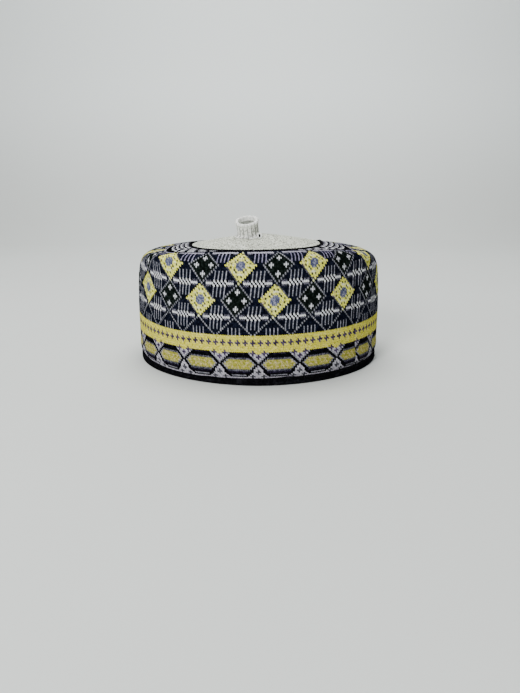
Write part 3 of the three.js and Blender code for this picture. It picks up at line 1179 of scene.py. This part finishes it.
# Inset, height, share of the ribs, share of the edge's wave
TAPE_ROWS = [
    (0.45, 0.0, 0.2, 0),
    (0.1, 0.35, 0.6, 0),
    (-0.12, 1.2, 1, 0),
    (-0.22, 2.2, 1, 0),
    (-0.12, 2.9, 1, 0.1),
    (0.08, 3.2, 1, 0.1),
    (-0.1, 3.5, 1, 0.2),
    (-0.2, 4.3, 1, 0.5),
    (-0.1, 5.4, 1, 0.9),
    (0.15, BINDING_HEIGHT, 0.8, 1),
    (0.6, BINDING_HEIGHT + 0.1, 0.4, 1),
    (BINDING_THICKNESS, BINDING_HEIGHT - 0.2, 0, 1),
    (BINDING_THICKNESS, BINDING_THICKNESS, 0, 0),
    (CHANNEL_IN, BINDING_THICKNESS, 0, 0),
    (CHANNEL_IN, BINDING_HEIGHT - 0.2, 0, 0.6),
    (CHANNEL_IN + 0.5, BINDING_HEIGHT, 0.4, 0.6),
    (TAPE_FULL, BINDING_HEIGHT - 0.4, 0.8, 0.6),
    (TAPE_FULL + 0.1, 3.4, 0.8, 0),
    (TAPE_FULL, 0.6, 0.6, 0),
    (TAPE_FULL - 0.5, 0.0, 0.2, 0),
]


def tape_piece():
    """Knitted tape folded round the rim: the outer face is ribbed and its edge waves a little."""
    angle = np.arange(TAPE_STEPS) / TAPE_STEPS * TURN
    wave = sum(depth * np.sin(count * angle + phase) for depth, count, phase in TAPE_WAVES)
    along = np.interp(angle, oval_angles, oval_arc) - NEAR_ARC
    along = np.mod(along + GIRTH / 2, GIRTH) - GIRTH / 2
    wave = wave - DIP_SHARE * WALL_CLIMB * bell(along, DIP_PLACE, DIP_REACH)
    rib = np.cos(TAPE_RIBS * angle)
    rings = []
    for inset, height, ribbed, waving in TAPE_ROWS:
        proud = TAPE_RIB_DEPTH * ribbed * rib * (-1 if inset > CHANNEL_IN else 1)
        half_length = CAP_LENGTH / 2 * WALL_EDGE_REACH - inset + proud
        half_width = CAP_WIDTH / 2 * WALL_EDGE_REACH - inset + proud
        rings.append(oval(angle, half_length, half_width, RIM_SQUARENESS, height + waving * wave))
    faces = tube_faces(loops_of(rings))
    piece = mesh_piece("rim_tape", np.concatenate(rings), faces, [woolly_material("black_tape")])
    return dress(piece, "black_binding", "rim_binding")


# The backdrop: a floor that curves up into a wall behind the cap. Its colours run from the
# mottled floor to the wall over a height in metres
SWEEP_REACH = 3000.0
SWEEP_START = 900.0
SWEEP_RADIUS = 700.0
SWEEP_STEPS = 24
FLOOR_COLOURS = ((0.6, 0.625, 0.605), (0.64, 0.665, 0.645))
BACK_COLOUR = (0.88, 0.93, 0.92)
FLOOR_SCALE = 3
FLOOR_GRAIN = 60
FLOOR_BUMP = (0.02, 0.001)
BACK_START = 0.5
WORLD_COLOUR = (0.86, 0.9, 0.9, 1)
WORLD_STRENGTH = 0.07
# Name, place, aim, size and power of each light
LIGHTS = (
    ("key", (-0.46, -1.0, 0.68), (0, 0, 0.05), 0.35, 15),
    ("top", (-0.1, 0.0, 1.5), (0, 0, 0.05), 1.0, 17),
    ("backdrop", (0, 0.5, 1.7), (0, 1.6, 0.4), 1.2, 29),
)
# The camera that was fitted to the photograph: focal length and frame height in its pixels
SENSOR_WIDTH = 36
FOCAL_PIXELS = 560
FRAME_PIXELS = 693
CAMERA_PLACE = (0.0013, -0.495, 0.148)
CAMERA_DOWN = 16.1
CAMERA_CLIP = 0.01


def set_stage():
    """Pale floor, soft light and the camera that matches the photograph."""
    scene = bpy.context.scene
    profile = [(-SWEEP_REACH, 0.0), (SWEEP_START, 0.0)]
    for step in range(1, SWEEP_STEPS + 1):
        turn = step / SWEEP_STEPS * math.pi / 2
        back = SWEEP_START + SWEEP_RADIUS * math.sin(turn)
        profile.append((back, SWEEP_RADIUS * (1 - math.cos(turn))))
    profile.append((profile[-1][0], SWEEP_REACH))
    corners = [(side * SWEEP_REACH, y, z) for y, z in profile for side in (-1, 1)]
    faces = [(2 * k, 2 * k + 1, 2 * k + 3, 2 * k + 2) for k in range(len(profile) - 1)]
    material = bpy.data.materials.new("pale_backdrop")
    n = Nodes(material)
    floor_colour = n.mix(n.noise(FLOOR_SCALE, 2), *FLOOR_COLOURS)
    colour = n.mix(n.ramp(n.height(), 0.0, BACK_START), floor_colour, BACK_COLOUR)
    n.finish(colour, n.bump(n.noise(FLOOR_GRAIN, 2), *FLOOR_BUMP))
    mesh_piece("backdrop", corners, faces, [material])

    world = bpy.data.worlds.new("studio")
    world.use_nodes = True
    background = world.node_tree.nodes["Background"]
    background.inputs["Color"].default_value = WORLD_COLOUR
    background.inputs["Strength"].default_value = WORLD_STRENGTH
    scene.world = world

    for name, location, target, size, power in LIGHTS:
        light = bpy.data.lights.new(name, "AREA")
        light.size = size
        light.energy = power
        lamp = bpy.data.objects.new(name, light)
        lamp.location = location
        aim = Vector(target) - Vector(location)
        lamp.rotation_euler = aim.to_track_quat("-Z", "Y").to_euler()
        scene.collection.objects.link(lamp)

    camera_data = bpy.data.cameras.new("camera")
    camera_data.sensor_width = SENSOR_WIDTH
    camera_data.lens = SENSOR_WIDTH * FOCAL_PIXELS / FRAME_PIXELS
    camera_data.clip_start = CAMERA_CLIP
    camera = bpy.data.objects.new("camera", camera_data)
    camera.location = CAMERA_PLACE
    camera.rotation_euler = (math.radians(90 - CAMERA_DOWN), 0, 0)
    scene.collection.objects.link(camera)
    scene.camera = camera


set_stage()
knit_wall()
crown_piece()
piping_piece()
stub_piece()
tape_piece()
